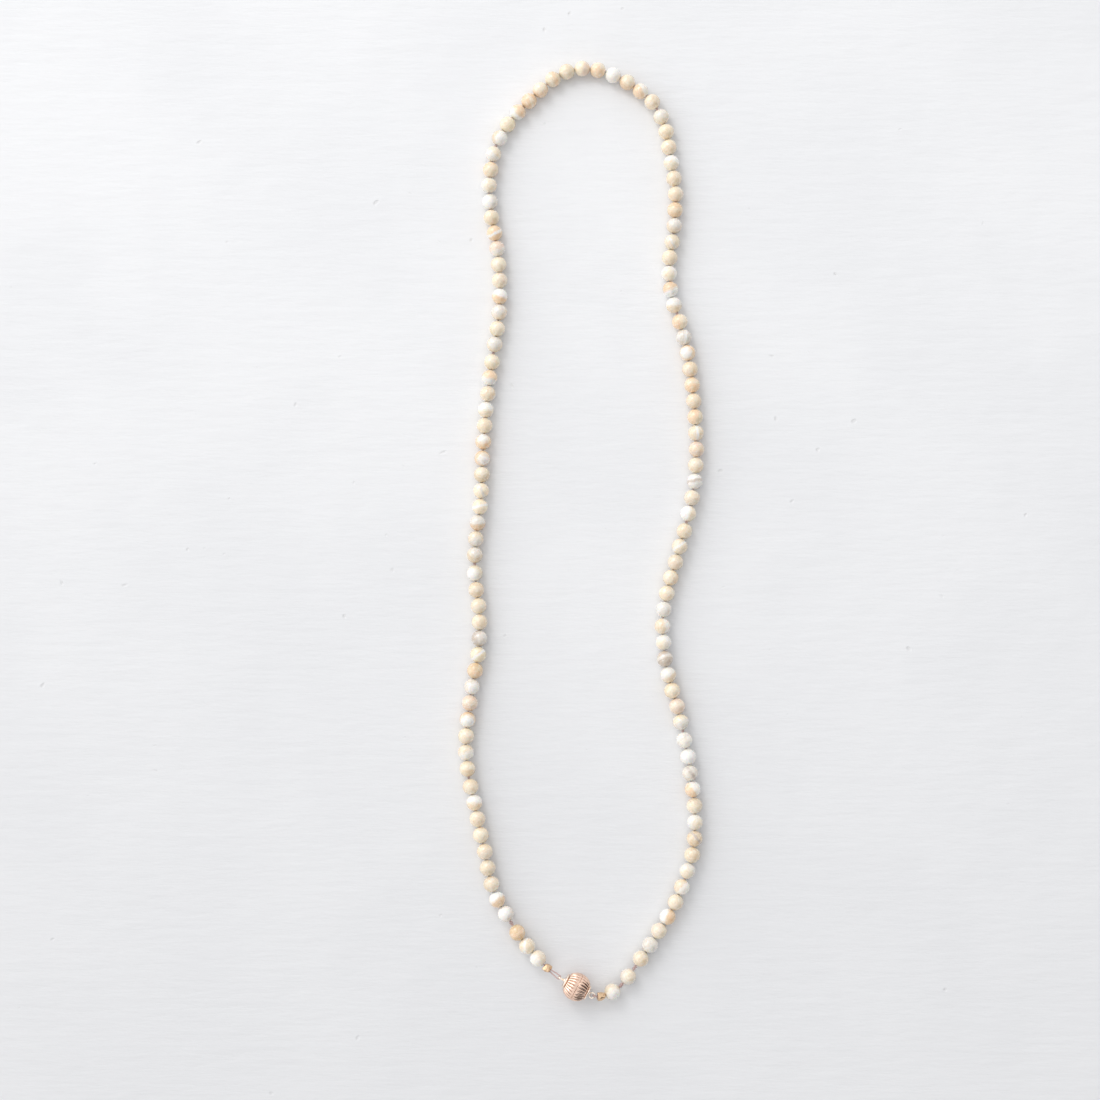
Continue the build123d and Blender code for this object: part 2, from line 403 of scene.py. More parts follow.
class Shader:
    """A material under construction, with short ways to add and link its nodes."""

    def __init__(self, name):
        self.material = bpy.data.materials.new(name)
        self.material.use_nodes = True
        self.tree = self.material.node_tree
        self.tree.nodes.clear()
        self.output = self.tree.nodes.new("ShaderNodeOutputMaterial")
        self.surface = self.tree.nodes.new("ShaderNodeBsdfPrincipled")
        self.link(self.surface.outputs[0], self.output.inputs[0])

    def link(self, source, target):
        self.tree.links.new(source, target)

    def node(self, kind, **settings):
        made = self.tree.nodes.new(kind)
        for key, value in settings.items():
            setattr(made, key, value)
        return made

    def put(self, node, socket, value):
        """Sets a socket to a number, or links it to another node's output."""
        if isinstance(value, bpy.types.NodeSocket):
            self.link(value, node.inputs[socket])
        else:
            node.inputs[socket].default_value = value

    def set(self, **values):
        for key, value in values.items():
            self.put(self.surface, key.replace("_", " "), value)

    def attribute(self, name, output="Vector"):
        return self.node("ShaderNodeAttribute", attribute_name=name).outputs[output]

    def objects(self):
        return self.node("ShaderNodeTexCoord").outputs["Object"]

    def noise(self, vector, scale, detail=3.0, roughness=0.55, distortion=0.0):
        made = self.node("ShaderNodeTexNoise")
        self.put(made, "Vector", vector)
        self.put(made, "Scale", scale)
        self.put(made, "Detail", detail)
        self.put(made, "Roughness", roughness)
        self.put(made, "Distortion", distortion)
        return made.outputs["Fac"]

    def math(self, operation, first, second=0.0, third=0.0):
        made = self.node("ShaderNodeMath", operation=operation)
        for index, value in enumerate((first, second, third)):
            self.put(made, index, value)
        return made.outputs[0]

    def vector(self, operation, first, second):
        made = self.node("ShaderNodeVectorMath", operation=operation)
        self.put(made, 0, first)
        self.put(made, 1, second)
        return made.outputs[0]

    def split(self, vector):
        made = self.node("ShaderNodeSeparateXYZ")
        self.put(made, 0, vector)
        return made.outputs

    def remap(self, value, low, high, to_low=0.0, to_high=1.0, smooth=True):
        made = self.node("ShaderNodeMapRange")
        made.interpolation_type = "SMOOTHSTEP" if smooth else "LINEAR"
        for key, number in (("Value", value), ("From Min", low), ("From Max", high),
                            ("To Min", to_low), ("To Max", to_high)):
            self.put(made, key, number)
        return made.outputs[0]

    def mix(self, share, first, second, blend="MIX"):
        made = self.node("ShaderNodeMix", data_type="RGBA", blend_type=blend)
        self.put(made, "Factor", share)
        for index, value in ((6, first), (7, second)):
            if isinstance(value, tuple):
                value = (*value, 1.0)
            self.put(made, index, value)
        return made.outputs[2]

    def bump(self, height, distance, strength=1.0):
        made = self.node("ShaderNodeBump")
        self.put(made, "Height", height)
        self.put(made, "Distance", distance)
        self.put(made, "Strength", strength)
        return made.outputs[0]


def nacre_material():
    """Polished shell: two tones in each bead, growth lines, cloudy mottling and a pearly gloss."""
    s = Shader("shell_nacre")
    shell = s.attribute("shell_co")
    pattern = s.split(s.attribute("pattern"))
    stripe, softness, streaks = pattern[0], pattern[1], pattern[2]
    wobble = s.noise(shell, 1.7, detail=4.0)
    across = s.math("ADD", s.split(shell)[0], s.math("MULTIPLY_ADD", wobble, 0.5, -0.25))
    # A split lies where across passes 0; a stripe where it is closer to 0 than the stripe's half width
    from_stripe = s.math("SUBTRACT", stripe, s.math("ABSOLUTE", across))
    is_stripe = s.math("GREATER_THAN", stripe, 0.001)
    depth = s.math("ADD", s.math("MULTIPLY", is_stripe, from_stripe),
                   s.math("MULTIPLY", s.math("SUBTRACT", 1.0, is_stripe), across))
    second = s.remap(s.math("DIVIDE", depth, softness), -1.0, 1.0)
    colour = s.mix(second, s.attribute("tone_main", "Color"), s.attribute("tone_second", "Color"))
    # Growth lines follow the layers and bend with the wobble
    lines = s.math("SINE", s.math("MULTIPLY", across, 26.0))
    fine_lines = s.math("SINE", s.math("MULTIPLY_ADD", across, 71.0, 1.3))
    line_sum = s.math("MULTIPLY_ADD", fine_lines, 0.4, lines)
    line_share = s.math("MULTIPLY", s.remap(line_sum, -1.2, 1.4), streaks)
    colour = s.mix(s.math("MULTIPLY", line_share, 0.26), colour, (0.72, 0.56, 0.40), "MULTIPLY")
    # Cloudy paler and darker places
    cloud = s.noise(shell, 2.6, detail=5.0, distortion=0.6)
    colour = s.mix(s.math("MULTIPLY", s.remap(cloud, 0.52, 0.74), 0.55), colour, (0.885, 0.865, 0.83))
    darker = s.math("MULTIPLY", s.remap(cloud, 0.46, 0.24), 0.35)
    colour = s.mix(darker, colour, (0.76, 0.60, 0.45), "MULTIPLY")
    pits = s.noise(shell, 14.0, detail=2.0)
    colour = s.mix(s.math("MULTIPLY", s.remap(pits, 0.66, 0.80), 0.5), colour, (0.45, 0.36, 0.28), "MULTIPLY")
    gloss = s.remap(s.noise(shell, 5.0, detail=3.0), 0.3, 0.7, 0.16, 0.34, smooth=False)
    height = s.math("MULTIPLY_ADD", pits, -0.4, s.math("MULTIPLY_ADD", line_sum, 0.12, cloud))
    s.set(Base_Color=colour, Roughness=gloss, Normal=s.bump(height, 0.02 * MM, 0.06),
          IOR=1.6, Subsurface_Weight=0.4, Subsurface_Radius=(1.0, 0.76, 0.56), Subsurface_Scale=1.1 * MM,
          Coat_Weight=0.8, Coat_Roughness=0.2, Coat_IOR=1.5)
    return s.material


def silk_material():
    """Twisted silk thread in dusty rose, with fine fibres along its plies."""
    s = Shader("silk_thread")
    lay = s.attribute("lay_co")
    fibres = s.noise(lay, 9.0, detail=4.0, roughness=0.7)
    soil = s.noise(lay, 1.2, detail=2.0)
    colour = s.mix(s.remap(fibres, 0.3, 0.72), (0.46, 0.31, 0.30), (0.76, 0.58, 0.54))
    colour = s.mix(s.math("MULTIPLY", s.remap(soil, 0.45, 0.7), 0.35), colour, (0.40, 0.30, 0.28))
    # Painted shade: darker in the valleys between the plies
    valley_shade = s.attribute("valley_shade", "Fac")
    colour = s.mix(s.math("MULTIPLY", valley_shade, 0.6), colour, (0.45, 0.33, 0.33), "MULTIPLY")
    s.set(Base_Color=colour, Roughness=s.remap(fibres, 0.3, 0.7, 0.42, 0.66, smooth=False),
          Normal=s.bump(fibres, 0.012 * MM, 0.8), Sheen_Weight=0.5, Sheen_Roughness=0.4,
          Subsurface_Weight=0.1, Subsurface_Radius=(1.0, 0.6, 0.5), Subsurface_Scale=0.1 * MM)
    return s.material


def metal_material(name, bright, smear_and_shade_colour, roughness, scratches):
    """Polished metal alloy: painted shade darkens it in its grooves and hollows, with hairline scratches and
    faint smears.
    """
    s = Shader(name)
    place = s.objects()
    hollow_shade = s.attribute("hollow_shade", "Fac")
    smear = s.noise(place, 900.0, detail=4.0)
    colour = s.mix(s.math("MULTIPLY", s.remap(smear, 0.35, 0.7), 0.22), bright, smear_and_shade_colour)
    # Painted shade: the colour goes darker where the per-vertex attribute marks a groove or hollow
    colour = s.mix(s.remap(hollow_shade, 0.32, 1.0, 0.0, 0.85), colour, smear_and_shade_colour)
    stretched = s.vector("MULTIPLY", place, (1.0, 1.0, 0.08))
    hairlines = s.noise(stretched, 26000.0, detail=2.0)
    low, high = roughness
    gloss = s.remap(s.math("MULTIPLY_ADD", hairlines, 0.5, smear), 0.5, 1.0, low, high, smooth=False)
    s.set(Base_Color=colour, Metallic=1.0, Roughness=gloss,
          Normal=s.bump(hairlines, 0.004 * MM, scratches))
    return s.material


def floor_material():
    """A matt, pale painted board with faint brush strokes, soft dents and a few chips, and painted shade that
    darkens it towards the clasp's end.
    """
    s = Shader("painted_board")
    place = s.objects()
    brushed = s.vector("MULTIPLY", place, (0.16, 1.0, 1.0))
    strokes = s.noise(brushed, 420.0, detail=5.0, roughness=0.62)
    dents = s.noise(place, 60.0, detail=4.0)
    patches = s.noise(place, 18.0, detail=3.0)
    chips = s.remap(s.noise(place, 240.0, detail=1.0), 0.76, 0.82)
    colour = s.mix(s.remap(patches, 0.35, 0.65), (0.80, 0.803, 0.815), (0.828, 0.83, 0.84))
    colour = s.mix(s.math("MULTIPLY", s.remap(strokes, 0.55, 0.75), 0.3), colour, (0.775, 0.775, 0.79))
    colour = s.mix(s.math("MULTIPLY", chips, 0.35), colour, (0.62, 0.61, 0.60))
    # Painted shade: the board gets darker towards the clasp's end, standing in for the light falling off
    painted_shade_near_end = s.remap(s.split(place)[1], 0.06, -0.18, smooth=False)
    colour = s.mix(s.math("MULTIPLY", painted_shade_near_end, 0.6), colour, (0.69, 0.69, 0.70))
    height = s.math("MULTIPLY_ADD", dents, 1.5, s.math("SUBTRACT", strokes, chips))
    s.set(Base_Color=colour, Roughness=0.75, Normal=s.bump(height, 0.6 * MM, 0.30), Specular_IOR_Level=0.25)
    return s.material


nacre = nacre_material()
silk = silk_material()
# Metals: colour, the colour of the smears and of the painted shade in the grooves, roughness from and to,
# depth of the scratches
rose_gold = metal_material("rose_gold_fluted", (0.96, 0.70, 0.56), (0.20, 0.09, 0.055), (0.12, 0.25), 0.5)
# A paler copy of the rose gold for the polished caps and rings, with lower roughness: its paler colour is a
# painted highlight
polished_highlight_gold = metal_material("rose_gold_polished", (1.0, 0.88, 0.76), (0.60, 0.36, 0.25), (0.06, 0.16), 0.25)
crimp_gold = metal_material("crimp_gold", (0.82, 0.58, 0.37), (0.25, 0.13, 0.07), (0.14, 0.32), 0.6)
steel = metal_material("magnet_cup_steel", (0.62, 0.62, 0.63), (0.36, 0.36, 0.38), (0.25, 0.45), 0.8)
nickel = metal_material("magnet_nickel", (0.74, 0.74, 0.75), (0.48, 0.48, 0.50), (0.12, 0.28), 0.4)

# ---------------------------------------------------------------- beads


def bead_profile():
    """(radius, height) points round a bead's wall: over the ball, then back through the drilled hole."""
    mouth = math.degrees(math.asin((HOLE_RADIUS + HOLE_EDGE) / BEAD_RADIUS))
    outside = arc((0, 0), BEAD_RADIUS, -90 + mouth, 90 - mouth, BEAD_ARC_POINTS)
    top = outside[-1][1]
    upper = [(HOLE_RADIUS + HOLE_EDGE * 0.35, top + HOLE_EDGE * 0.05), (HOLE_RADIUS, top - HOLE_EDGE * 0.6)]
    bore = [(HOLE_RADIUS, top * share) for share in (0.7, 0.0, -0.7)]
    lower = [(HOLE_RADIUS, -top + HOLE_EDGE * 0.6), (HOLE_RADIUS + HOLE_EDGE * 0.35, -top - HOLE_EDGE * 0.05)]
    return outside + upper + bore + lower


# Where the second tone begins, its stripe's half width and how soft its edge is, by pattern
PATTERNS = {"|": (0.0, 0.0, 0.24), "/": (0.0, 0.17, 0.12), "-": (0.0, 0.30, 0.20), ".": (0.0, 0.0, 0.32)}
# How far the layers may turn from lying straight, in radians; a patch takes any direction
LEANS = {"|": 0.5, "/": 0.9, "-": 0.15}


def layer_axis(pattern, draw):
    """The direction across the shell's layers, in (along the strand, across it, up)."""
    if pattern == ".":
        return Vector((draw.uniform(-0.6, 0.6), draw.uniform(-0.7, 0.7), 0.9)).normalized()
    lean = LEANS[pattern]
    turn = draw.uniform(-lean, lean) + (0.0 if pattern == "-" else draw.choice((0.0, math.pi / 2)))
    return Vector((math.cos(turn), math.sin(turn), draw.uniform(-0.25, 0.45))).normalized()


def make_bead(bead):
    """One bead: slightly out of round, drilled, with its own tones and the lie of its shell layers."""
    draw = random.Random(7000 + bead)
    main, pattern, second = BEAD_LOOKS[bead - 1]
    offset, stripe, softness = PATTERNS[pattern]
    seed = Vector((draw.uniform(-50, 50), draw.uniform(-50, 50), draw.uniform(-50, 50)))
    out_of_round = Vector((draw.uniform(0.994, 1.002), draw.uniform(0.994, 1.002), draw.uniform(1.0, 1.010)))
    local, faces = lathe(bead_profile(), BEAD_SEGMENTS)
    for vert in local:
        if math.hypot(vert.x, vert.y) > HOLE_RADIUS * 1.3:
            vert *= 0.998 + 0.003 * noise.noise(vert / BEAD_RADIUS * 1.6 + seed)
        vert.x, vert.y, vert.z = vert.x * out_of_round.x, vert.y * out_of_round.y, vert.z * out_of_round.z
    place = bead_places[bead]
    along = strand.direction(place)
    across, upright = side_frame(along)
    centre = strand.at(place) + across * draw.uniform(-BEAD_PLAY, BEAD_PLAY)
    verts = placed(local, centre, along, across)
    name = f"bead_{bead:03d}"
    node = f"beads_{(bead - 1) // BEADS_PER_NODE + 1:02d}"
    body = link_name((bead - 1) // BEADS_PER_LINK + 1)
    piece = new_piece(name, verts, faces, nacre, body, [node])
    axis = layer_axis(pattern, draw)
    layer = along * axis.x + across * axis.y + upright * axis.z
    layer_side, layer_up = side_frame(layer)
    shift = Vector((0.0, draw.uniform(-40, 40), draw.uniform(-40, 40)))
    if pattern == ".":
        offset = draw.uniform(-0.75, -0.45)
    shell = []
    for vert in verts:
        reach = (vert - centre) / BEAD_RADIUS
        shell.append(Vector((reach.dot(layer) + offset, reach.dot(layer_side), reach.dot(layer_up))) + shift)
    count = len(verts)
    set_attribute(piece, "shell_co", "FLOAT_VECTOR", shell)
    set_attribute(piece, "pattern", "FLOAT_VECTOR", [(stripe, softness, draw.uniform(0.2, 1.0))] * count)
    paler, warmer = draw.uniform(0.90, 1.04), draw.uniform(0.0, 0.09)
    vary = (paler, paler * (1 - warmer / 3), paler * (1 - warmer))
    main_tone = [min(0.96, tone * change) for tone, change in zip(TONES[main], vary)]
    set_attribute(piece, "tone_main", "FLOAT_COLOR", [main_tone] * count)
    set_attribute(piece, "tone_second", "FLOAT_COLOR", [TONES[second]] * count)
    return piece


beads = {bead: make_bead(bead) for bead in range(1, BEAD_COUNT + 1)}

# ---------------------------------------------------------------- thread, knots and loops


def twisted_tube(points, radius, lay, sides=14, plies=3, closed=False):
    """Verts, faces and shading attributes of a thread laid up from plies, round a list of points."""
    count = len(points)
    verts, lay_co, valley_shade = [], [], []
    run, side = 0.0, None
    for index, point in enumerate(points):
        before = points[index - 1] if closed or index else points[0]
        after = points[(index + 1) % count] if closed or index < count - 1 else points[-1]
        direction = (after - before).normalized()
        if side is None:
            side = side_frame(direction)[0]
        side = (side - direction * side.dot(direction)).normalized()
        other = direction.cross(side)
        if index:
            run += (point - points[index - 1]).length
        turn = math.tau * run / lay
        for step in range(sides):
            angle = math.tau * step / sides
            hollow = 1.0 - abs(math.cos((angle - turn) * plies / 2))
            reach = radius * (1.0 - 0.22 * hollow ** 1.4)
            verts.append(point + side * (reach * math.cos(angle)) + other * (reach * math.sin(angle)))
            lay_co.append((math.cos(angle - turn), math.sin(angle - turn), run / MM * 0.25))
            # How deep the point lies in a valley between plies, for the painted shade there
            valley_shade.append(hollow)
    faces = grid_faces(count, sides, close_rows=closed)
    if not closed:
        faces.append(tuple(range(sides))[::-1])
        faces.append(tuple(range((count - 1) * sides, count * sides)))
    return verts, faces, lay_co, valley_shade


def silk_piece(name, tubes, body, replaces):
    """One piece of silk made of one or more twisted tubes."""
    verts, faces, lay_co, valley_shade = [], [], [], []
    for tube_verts, tube_faces, tube_lay, tube_valley_shade in tubes:
        start = len(verts)
        verts += tube_verts
        faces += [tuple(corner + start for corner in face) for face in tube_faces]
        lay_co += tube_lay
        valley_shade += tube_valley_shade
    piece = new_piece(name, verts, faces, silk, body, replaces)
    set_attribute(piece, "lay_co", "FLOAT_VECTOR", lay_co)
    set_attribute(piece, "valley_shade", "FLOAT", valley_shade)
    return piece


def knot_loop(centre, direction, radius, wire, turn):
    """Points of a tight overhand knot round the strand."""
    side, upright = side_frame(direction)
    flat = (radius - wire) / 3
    points = []
    for step in range(KNOT_POINTS):
        t = math.tau * step / KNOT_POINTS
        x = math.sin(t + turn) + 2 * math.sin(2 * t + turn)
        y = math.cos(t + turn) - 2 * math.cos(2 * t + turn)
        z = -math.sin(3 * t)
        points.append(centre + side * (x * flat) + upright * (y * flat) + direction * (z * wire * 0.75))
    return points


def make_knot(bead):
    """The knot after a bead: one overhand knot, or two side by side in a long gap."""
    middle = (bead_places[bead] + bead_places[bead + 1]) / 2
    large = bead in END_KNOTS_AFTER
    radius, wire = (0.50 * MM, 0.17 * MM) if large else (0.43 * MM, 0.14 * MM)
    tubes = []
    for number, shift in enumerate((-0.26 * MM, 0.26 * MM) if large else (0.0,)):
        centre = strand.at(middle + shift)
        points = knot_loop(centre, strand.direction(middle), radius, wire, 0.7 * bead + 1.1 * number)
        tubes.append(twisted_tube(points, wire, 0.9 * MM, sides=10, closed=True))
    link = (bead - 1) // BEADS_PER_LINK + 1
    return silk_piece(f"knot_{bead:03d}", tubes, link_name(link), replaces=[f"thread_{link:02d}"])


knots = {bead: make_knot(bead) for bead in sorted(KNOTS_AFTER + END_KNOTS_AFTER)}


def thread_ends(link):
    """Where a link's thread starts and ends along the route."""
    grip = BEAD_RADIUS + 0.3 * MM + CRIMP_BORE_DEPTH
    start = bends[link - 1] if link > 1 else bead_places[1] - grip
    end = bends[link] if link < LINK_COUNT else bead_places[BEAD_COUNT] + grip
    return start, end


def make_thread(link):
    """The silk of one link, along the route's line."""
    start, end = thread_ends(link)
    steps = round((end - start) / (0.1 * MM))
    points = [strand.at(start + (end - start) * step / steps) for step in range(steps + 1)]
    tube = twisted_tube(points, THREAD_RADIUS, THREAD_LAY)
    name = f"thread_{link:02d}"
    piece = silk_piece(f"silk_{name}", [tube], link_name(link), replaces=[name])


for link in range(1, LINK_COUNT + 1):
    make_thread(link)

# ---------------------------------------------------------------- clasp and crimps

shell_box = [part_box("clasp_shell_left"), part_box("clasp_shell_right")]
lowest = Vector(map(min, shell_box[0][0], shell_box[1][0]))
highest = Vector(map(max, shell_box[0][1], shell_box[1][1]))
CLASP_CENTRE = (lowest + highest) / 2
CLASP_AXIS = Vector(joint_between("link_15", "clasp_right")["axis"]).normalized()


def shell_profile():
    """(radius, height) round the half shell's wall, and how deep the flutes are cut at each point."""
    seam_angle = math.degrees(math.asin(SEAM / BALL_RADIUS))
    pole_angle = math.degrees(math.asin(CAP_SEAT / BALL_RADIUS))
    outside = arc((0, 0), BALL_RADIUS, seam_angle + 1.2, pole_angle, SHELL_ARC_POINTS)
    floor_radius = math.sqrt(SHELL_INNER_RADIUS ** 2 - SHELL_HOLLOW ** 2)
    floor_angle = math.degrees(math.asin(SHELL_HOLLOW / SHELL_INNER_RADIUS))
    inside = arc((0, 0), SHELL_INNER_RADIUS, floor_angle, seam_angle, 16)
    seam_edge = [(inside[-1][0], SEAM), (BALL_RADIUS - 0.07 * MM, SEAM)]
    pole = [(1.2 * MM, CAP_SEAT), (0.6 * MM, CAP_SEAT)]
    pole += [(0.6 * MM, SHELL_HOLLOW), (floor_radius * 0.7, SHELL_HOLLOW)]
    profile = outside + pole + inside + seam_edge
    last = SHELL_ARC_POINTS - 1
    depths = []
    for step in range(SHELL_ARC_POINTS):
        depths.append(min(1.0, 2.5 * step / last + 0.25) * min(1.0, 3.0 * (last - step) / last + 0.35))
    return profile, depths + [0.0] * (len(profile) - len(outside))


def flute(angle):
    """0 on a flute's round back, 1 in the sharp valley between two."""
    return 1.0 - abs(math.cos(angle * FLUTES / 2))


def make_shell(side, outward, ring_side):
    """A fluted half shell of the ball."""
    profile, depths = shell_profile()
    segments = FLUTES * SEGMENTS_PER_FLUTE

    def shape(angle, index, radius):
        return radius - FLUTE_DEPTH * depths[index] * flute(angle) ** 1.15

    local, faces = lathe(profile, segments, shape)
    name = f"clasp_shell_{side}"
    verts = placed(local, CLASP_CENTRE, outward, ring_side)
    piece = new_piece(f"fluted_{name}", verts, faces, rose_gold, f"clasp_{side}", [name])
    # Painted shade: darker in the valleys between the flutes, as far as the flutes are cut
    valleys = [flute(math.tau * segment / segments) for segment in range(segments)]
    hollow_shade = [min(1.0, depth * 1.2) * valley_shade for depth in depths for valley_shade in valleys]
    set_attribute(piece, "hollow_shade", "FLOAT", hollow_shade)


def make_cap(side, outward, ring_side):
    """The polished end cap: a neck, a dished flange with a rolled rim, a stepped boss and a stem."""
    middle = CAP_SEAT + NECK_HEIGHT + FLANGE_RIM
    flange = arc((FLANGE_RADIUS - FLANGE_RIM, middle), FLANGE_RIM, -90, 90, 13)
    # Dish, step and post on the flange, as (radius, height above the seat) in millimetres
    face = [(1.45, 0.44), (1.15, 0.40), (0.85, 0.43), (0.74, 0.52)]
    face += [(0.52, 0.56), (0.42, 0.66), (0.34, 0.78), (0.34, 0.92)]
    top = [(radius * MM, CAP_SEAT + height * MM) for radius, height in face]
    crown = arc((0.31 * MM, CAP_SEAT + 1.05 * MM), 0.10 * MM, 0, 90, 5) + [(AXIS_GAP, CAP_SEAT + 1.16 * MM)]
    stem = [(AXIS_GAP, STEM_END), (STEM_RADIUS, STEM_END), (STEM_RADIUS, CAP_SEAT)]
    stem += [(NECK_RADIUS, CAP_SEAT), (NECK_RADIUS, CAP_SEAT + NECK_HEIGHT)]
    local, faces = lathe(stem + flange + top + crown, CAP_SEGMENTS)
    name = f"clasp_end_cap_{side}"
    verts = placed(local, CLASP_CENTRE, outward, ring_side)
    body = f"clasp_{side}"
    piece = new_piece(f"polished_{name}", verts, faces, polished_highlight_gold, body, [name])
    # Painted shade: the neck under the flange and the dish on its face are darkened
    hollow_shade = []
    for vert in local:
        reach = math.hypot(vert.x, vert.y)
        in_dish = vert.z > middle and 0.7 * MM < reach < 1.2 * MM
        on_neck = vert.z < CAP_SEAT + NECK_HEIGHT + 0.01 * MM and reach < 1.5 * MM
        hollow_shade.append(0.9 if on_neck else 0.6 if in_dish else 0.0)
    set_attribute(piece, "hollow_shade", "FLOAT", hollow_shade)


def make_ring(side, outward, ring_side):
    """The wire ring on the cap, with a bead of solder where it meets the boss."""
    across = outward.cross(ring_side).normalized()
    centre = CLASP_CENTRE + outward * RING_CENTRE
    verts = []
    for turn in range(RING_SEGMENTS):
        angle = math.tau * turn / RING_SEGMENTS
        spoke = outward * -math.cos(angle) + ring_side * math.sin(angle)
        swell = 1.0 + 0.45 * math.exp(-((min(angle, math.tau - angle) / 0.28) ** 2))
        reach = RING_WIRE * swell
        for step in range(RING_SIDES):
            round_wire = math.tau * step / RING_SIDES
            out = spoke * (RING_RADIUS + reach * math.cos(round_wire) * 0.98)
            verts.append(centre + out + across * (reach * math.sin(round_wire)))
    faces = grid_faces(RING_SEGMENTS, RING_SIDES, close_rows=True)
    name = f"clasp_ring_{side}"
    body = f"clasp_{side}"
    piece = new_piece(f"wire_{name}", verts, faces, polished_highlight_gold, body, [name])
    set_attribute(piece, "hollow_shade", "FLOAT", [0.0] * len(verts))


def finish_cad_node(node, material):
    """A CAD piece whose shape is right gets its real finish."""
    piece = frame["nodes"][node]
    for index in range(len(piece.material_slots)):
        piece.material_slots[index].material = material


def make_crimp(side, centre, direction):
    """A crimp tube crushed by pliers: flats and folds, a waist, and an open mouth for the thread."""
    draw = random.Random({"left": 31, "right": 57}[side])
    half = CRIMP_LENGTH / 2
    bore = 0.24 * MM
    rounding = 0.22 * MM
    body = arc((CRIMP_RADIUS - rounding, -half + rounding), rounding, -90, 0, 7)
    body += [(CRIMP_RADIUS, -half + rounding + (CRIMP_LENGTH - 2 * rounding) * s / 14) for s in range(1, 14)]
    body += arc((CRIMP_RADIUS - rounding, half - rounding), rounding, 0, 90, 7)
    ends = [(bore + 0.06 * MM, half), (bore, half - 0.06 * MM), (bore, half - CRIMP_BORE_DEPTH)]
    back = [(AXIS_GAP, half - CRIMP_BORE_DEPTH), (AXIS_GAP, -half + 0.05 * MM), (bore, -half)]
    profile = body + ends + back
    phase = draw.uniform(0, math.tau)
    planes = []
    for _ in range(11):
        angle, lean = draw.uniform(0, math.tau), draw.uniform(-0.75, 0.75)
        normal = Vector((math.cos(angle), math.sin(angle), lean)).normalized()
        planes.append((normal, CRIMP_RADIUS * draw.uniform(0.80, 0.93)))
    local, faces = lathe(profile, CRIMP_SEGMENTS)
    hollow_shade = []
    for vert in local:
        cut = 1.0
        if math.hypot(vert.x, vert.y) > bore * 1.6:
            angle = math.atan2(vert.y, vert.x)
            near_waist = math.exp(-((vert.z / (0.6 * half)) ** 2))
            pinch = 1.0 - 0.10 * (0.5 + 0.5 * math.cos(2 * angle + phase)) * near_waist
            vert.x, vert.y = vert.x * pinch, vert.y * pinch
            for normal, limit in planes:
                over = vert.dot(normal) - limit
                if over > 0:
                    vert -= normal * (over * CRUSH)
            dent = noise.noise(vert / MM * 1.9 + Vector((phase, 3.1, 0.4)))
            vert *= 1.0 + 0.035 * dent
            # Painted shade: darker where a dent pushes the wall in
            cut = max(0.0, -dent * 1.2)
        hollow_shade.append(cut)
    name = f"crimp_{side}"
    link = link_name(1 if side == "left" else LINK_COUNT)
    verts = placed(local, centre, direction, UP)
    piece = new_piece(f"crushed_{name}", verts, faces, crimp_gold, link, [name])
    set_attribute(piece, "hollow_shade", "FLOAT", hollow_shade)


def make_loop(side, ring_point, crimp_face, spread):
    """The thread's loop: out of the crimp, round the ring's wire and back."""
    away = (crimp_face - ring_point).normalized()
    spread = (spread - away * spread.dot(away)).normalized()
    turn_radius = 0.47 * MM
    leg_end = 0.22 * MM
    reach = (crimp_face - ring_point).length + 0.35 * MM
    leg, turn = [], []
    for step in range(12):
        share = step / 12
        leg.append(away * (reach * (1 - share)) + spread * (leg_end + (turn_radius - leg_end) * share))
    for step in range(25):
        angle = math.pi * step / 24
        turn.append(spread * (turn_radius * math.cos(angle)) - away * (turn_radius * math.sin(angle)))
    other_leg = [place - spread * (2 * place.dot(spread)) for place in reversed(leg)]
    points = [ring_point + place for place in leg + turn + other_leg]
    tube = twisted_tube(points, THREAD_RADIUS * 0.9, 0.9 * MM, sides=12)
    name = f"thread_loop_{side}"
    link = link_name(1 if side == "left" else LINK_COUNT)
    silk_piece(f"silk_{name}", [tube], link, replaces=[name])


def crimp_place(side):
    """A crimp's centre, the direction its mouth looks in and its face towards the clasp, from its CAD box."""
    low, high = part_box(f"crimp_{side}")
    centre = (low + high) / 2
    place = strand.nearest(centre)
    mouth = strand.direction(place) if side == "left" else -strand.direction(place)
    return centre, mouth, centre - mouth * (CRIMP_LENGTH / 2)


for side, outward in (("left", -CLASP_AXIS), ("right", CLASP_AXIS)):
    ring_side = UP if side == "left" else CLASP_AXIS.cross(UP)
    make_shell(side, outward, ring_side)
    make_cap(side, outward, ring_side)
    make_ring(side, outward, ring_side)
    centre, mouth, face = crimp_place(side)
    make_crimp(side, centre, mouth)
    ring_point = strand.at(0.0 if side == "left" else strand.length)
    spread = outward.cross(UP) if side == "left" else UP
    make_loop(side, ring_point, face, spread)
    finish_cad_node(f"magnet_cup_{side}", steel)
    finish_cad_node(f"magnet_{side}", nickel)

# ---------------------------------------------------------------- floor, light and camera


def make_floor():
    half = 5.0
    mesh = bpy.data.meshes.new("floor")
    corners = [(-half, -half, 0), (half, -half, 0), (half, half, 0), (-half, half, 0)]
    mesh.from_pydata([Vector(c) + UP * cad_box[0].z for c in corners], [], [(0, 1, 2, 3)])
    mesh.materials.append(floor_material())
    floor = bpy.data.objects.new("floor", mesh)
    bpy.context.scene.collection.objects.link(floor)


def area_light(name, place, size, watts, colour):
    """A soft square lamp aimed at the middle of the object."""
    data = bpy.data.lights.new(name, "AREA")
    data.shape = "RECTANGLE"
    data.size, data.size_y = size
    data.energy = watts
    data.color = colour
    lamp = bpy.data.objects.new(name, data)
    lamp.location = place
    lamp.rotation_euler = (-Vector(place)).to_track_quat("-Z", "Y").to_euler()
    bpy.context.scene.collection.objects.link(lamp)


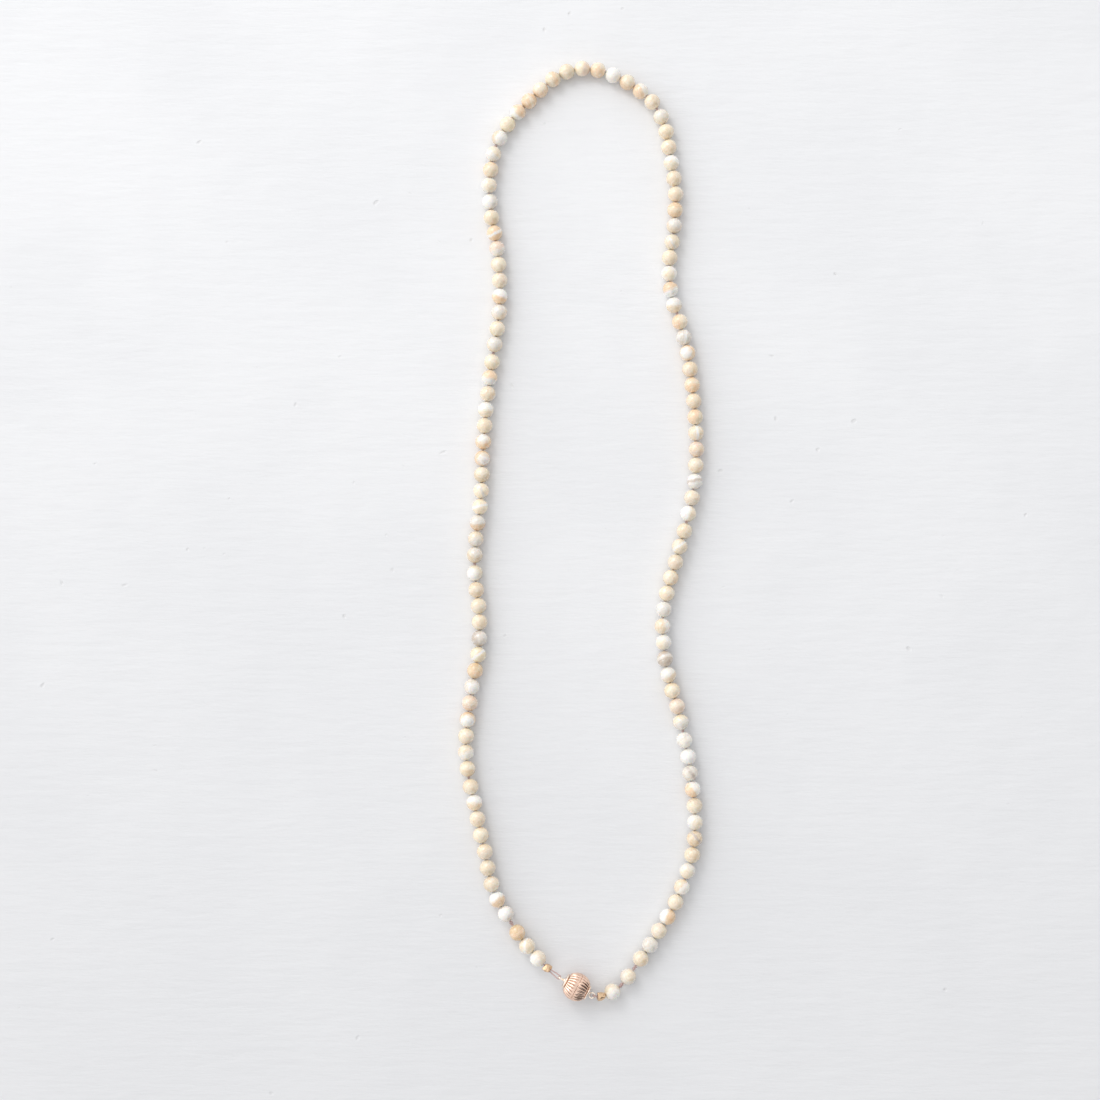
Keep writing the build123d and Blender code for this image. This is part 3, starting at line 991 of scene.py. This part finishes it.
def facing(nodes, links, direction, towards, span, levels):
    """A level that goes from one to the other as a direction of the room turns towards a given one."""
    cosine = nodes.new("ShaderNodeVectorMath")
    cosine.operation = "DOT_PRODUCT"
    cosine.inputs[1].default_value = Vector(towards).normalized()
    links.new(direction, cosine.inputs[0])
    share = nodes.new("ShaderNodeMapRange")
    share.interpolation_type = "SMOOTHSTEP"
    share.inputs["From Min"].default_value, share.inputs["From Max"].default_value = span
    share.inputs["To Min"].default_value, share.inputs["To Max"].default_value = levels
    links.new(cosine.outputs["Value"], share.inputs["Value"])
    return share


def make_world(dim, bright, dark_side):
    """An even, pale room: brighter on the window's side, dark where someone stands at the clasp's end."""
    world = bpy.data.worlds.new("soft_room")
    world.use_nodes = True
    nodes, links = world.node_tree.nodes, world.node_tree.links
    background = nodes["Background"]
    direction = nodes.new("ShaderNodeTexCoord").outputs["Generated"]
    window = facing(nodes, links, direction, (-0.82, 0.40, 0.30), (0.64, 0.97), (dim, bright))
    person = facing(nodes, links, direction, (0.68, -0.64, 0.36), (0.70, 0.90), (1.0, dark_side))
    level = nodes.new("ShaderNodeMath")
    level.operation = "MULTIPLY"
    links.new(window.outputs[0], level.inputs[0])
    links.new(person.outputs[0], level.inputs[1])
    # The camera itself sees a plain pale wall behind the floor
    wall = nodes.new("ShaderNodeMix")
    wall.inputs["B"].default_value = 0.86
    links.new(nodes.new("ShaderNodeLightPath").outputs["Is Camera Ray"], wall.inputs["Factor"])
    links.new(level.outputs[0], wall.inputs["A"])
    links.new(wall.outputs["Result"], background.inputs["Strength"])
    background.inputs["Color"].default_value = (0.985, 0.99, 1.0, 1.0)
    bpy.context.scene.world = world


def make_camera():
    """Looks almost straight down, tilted a little from the clasp's side."""
    distance, tilt = 0.520, math.radians(4.0)
    target = Vector((-0.008, -0.0065, 0.002))
    back = Vector((0, -math.sin(tilt), math.cos(tilt)))
    data = bpy.data.cameras.new("camera")
    data.sensor_width = 36.0
    data.lens = 68.07
    data.clip_start, data.clip_end = 0.01, 20.0
    camera = bpy.data.objects.new("camera", data)
    camera.location = target + back * distance
    camera.rotation_euler = (-back).to_track_quat("-Z", "Y").to_euler()
    bpy.context.scene.collection.objects.link(camera)
    bpy.context.scene.camera = camera


make_floor()
area_light("window", (-0.30, 0.46, 0.52), (0.26, 0.26), 1.05, (1.0, 0.99, 0.975))
make_world(0.965, 2.0, 0.08)
make_camera()
bpy.context.scene.view_settings.view_transform = "Standard"
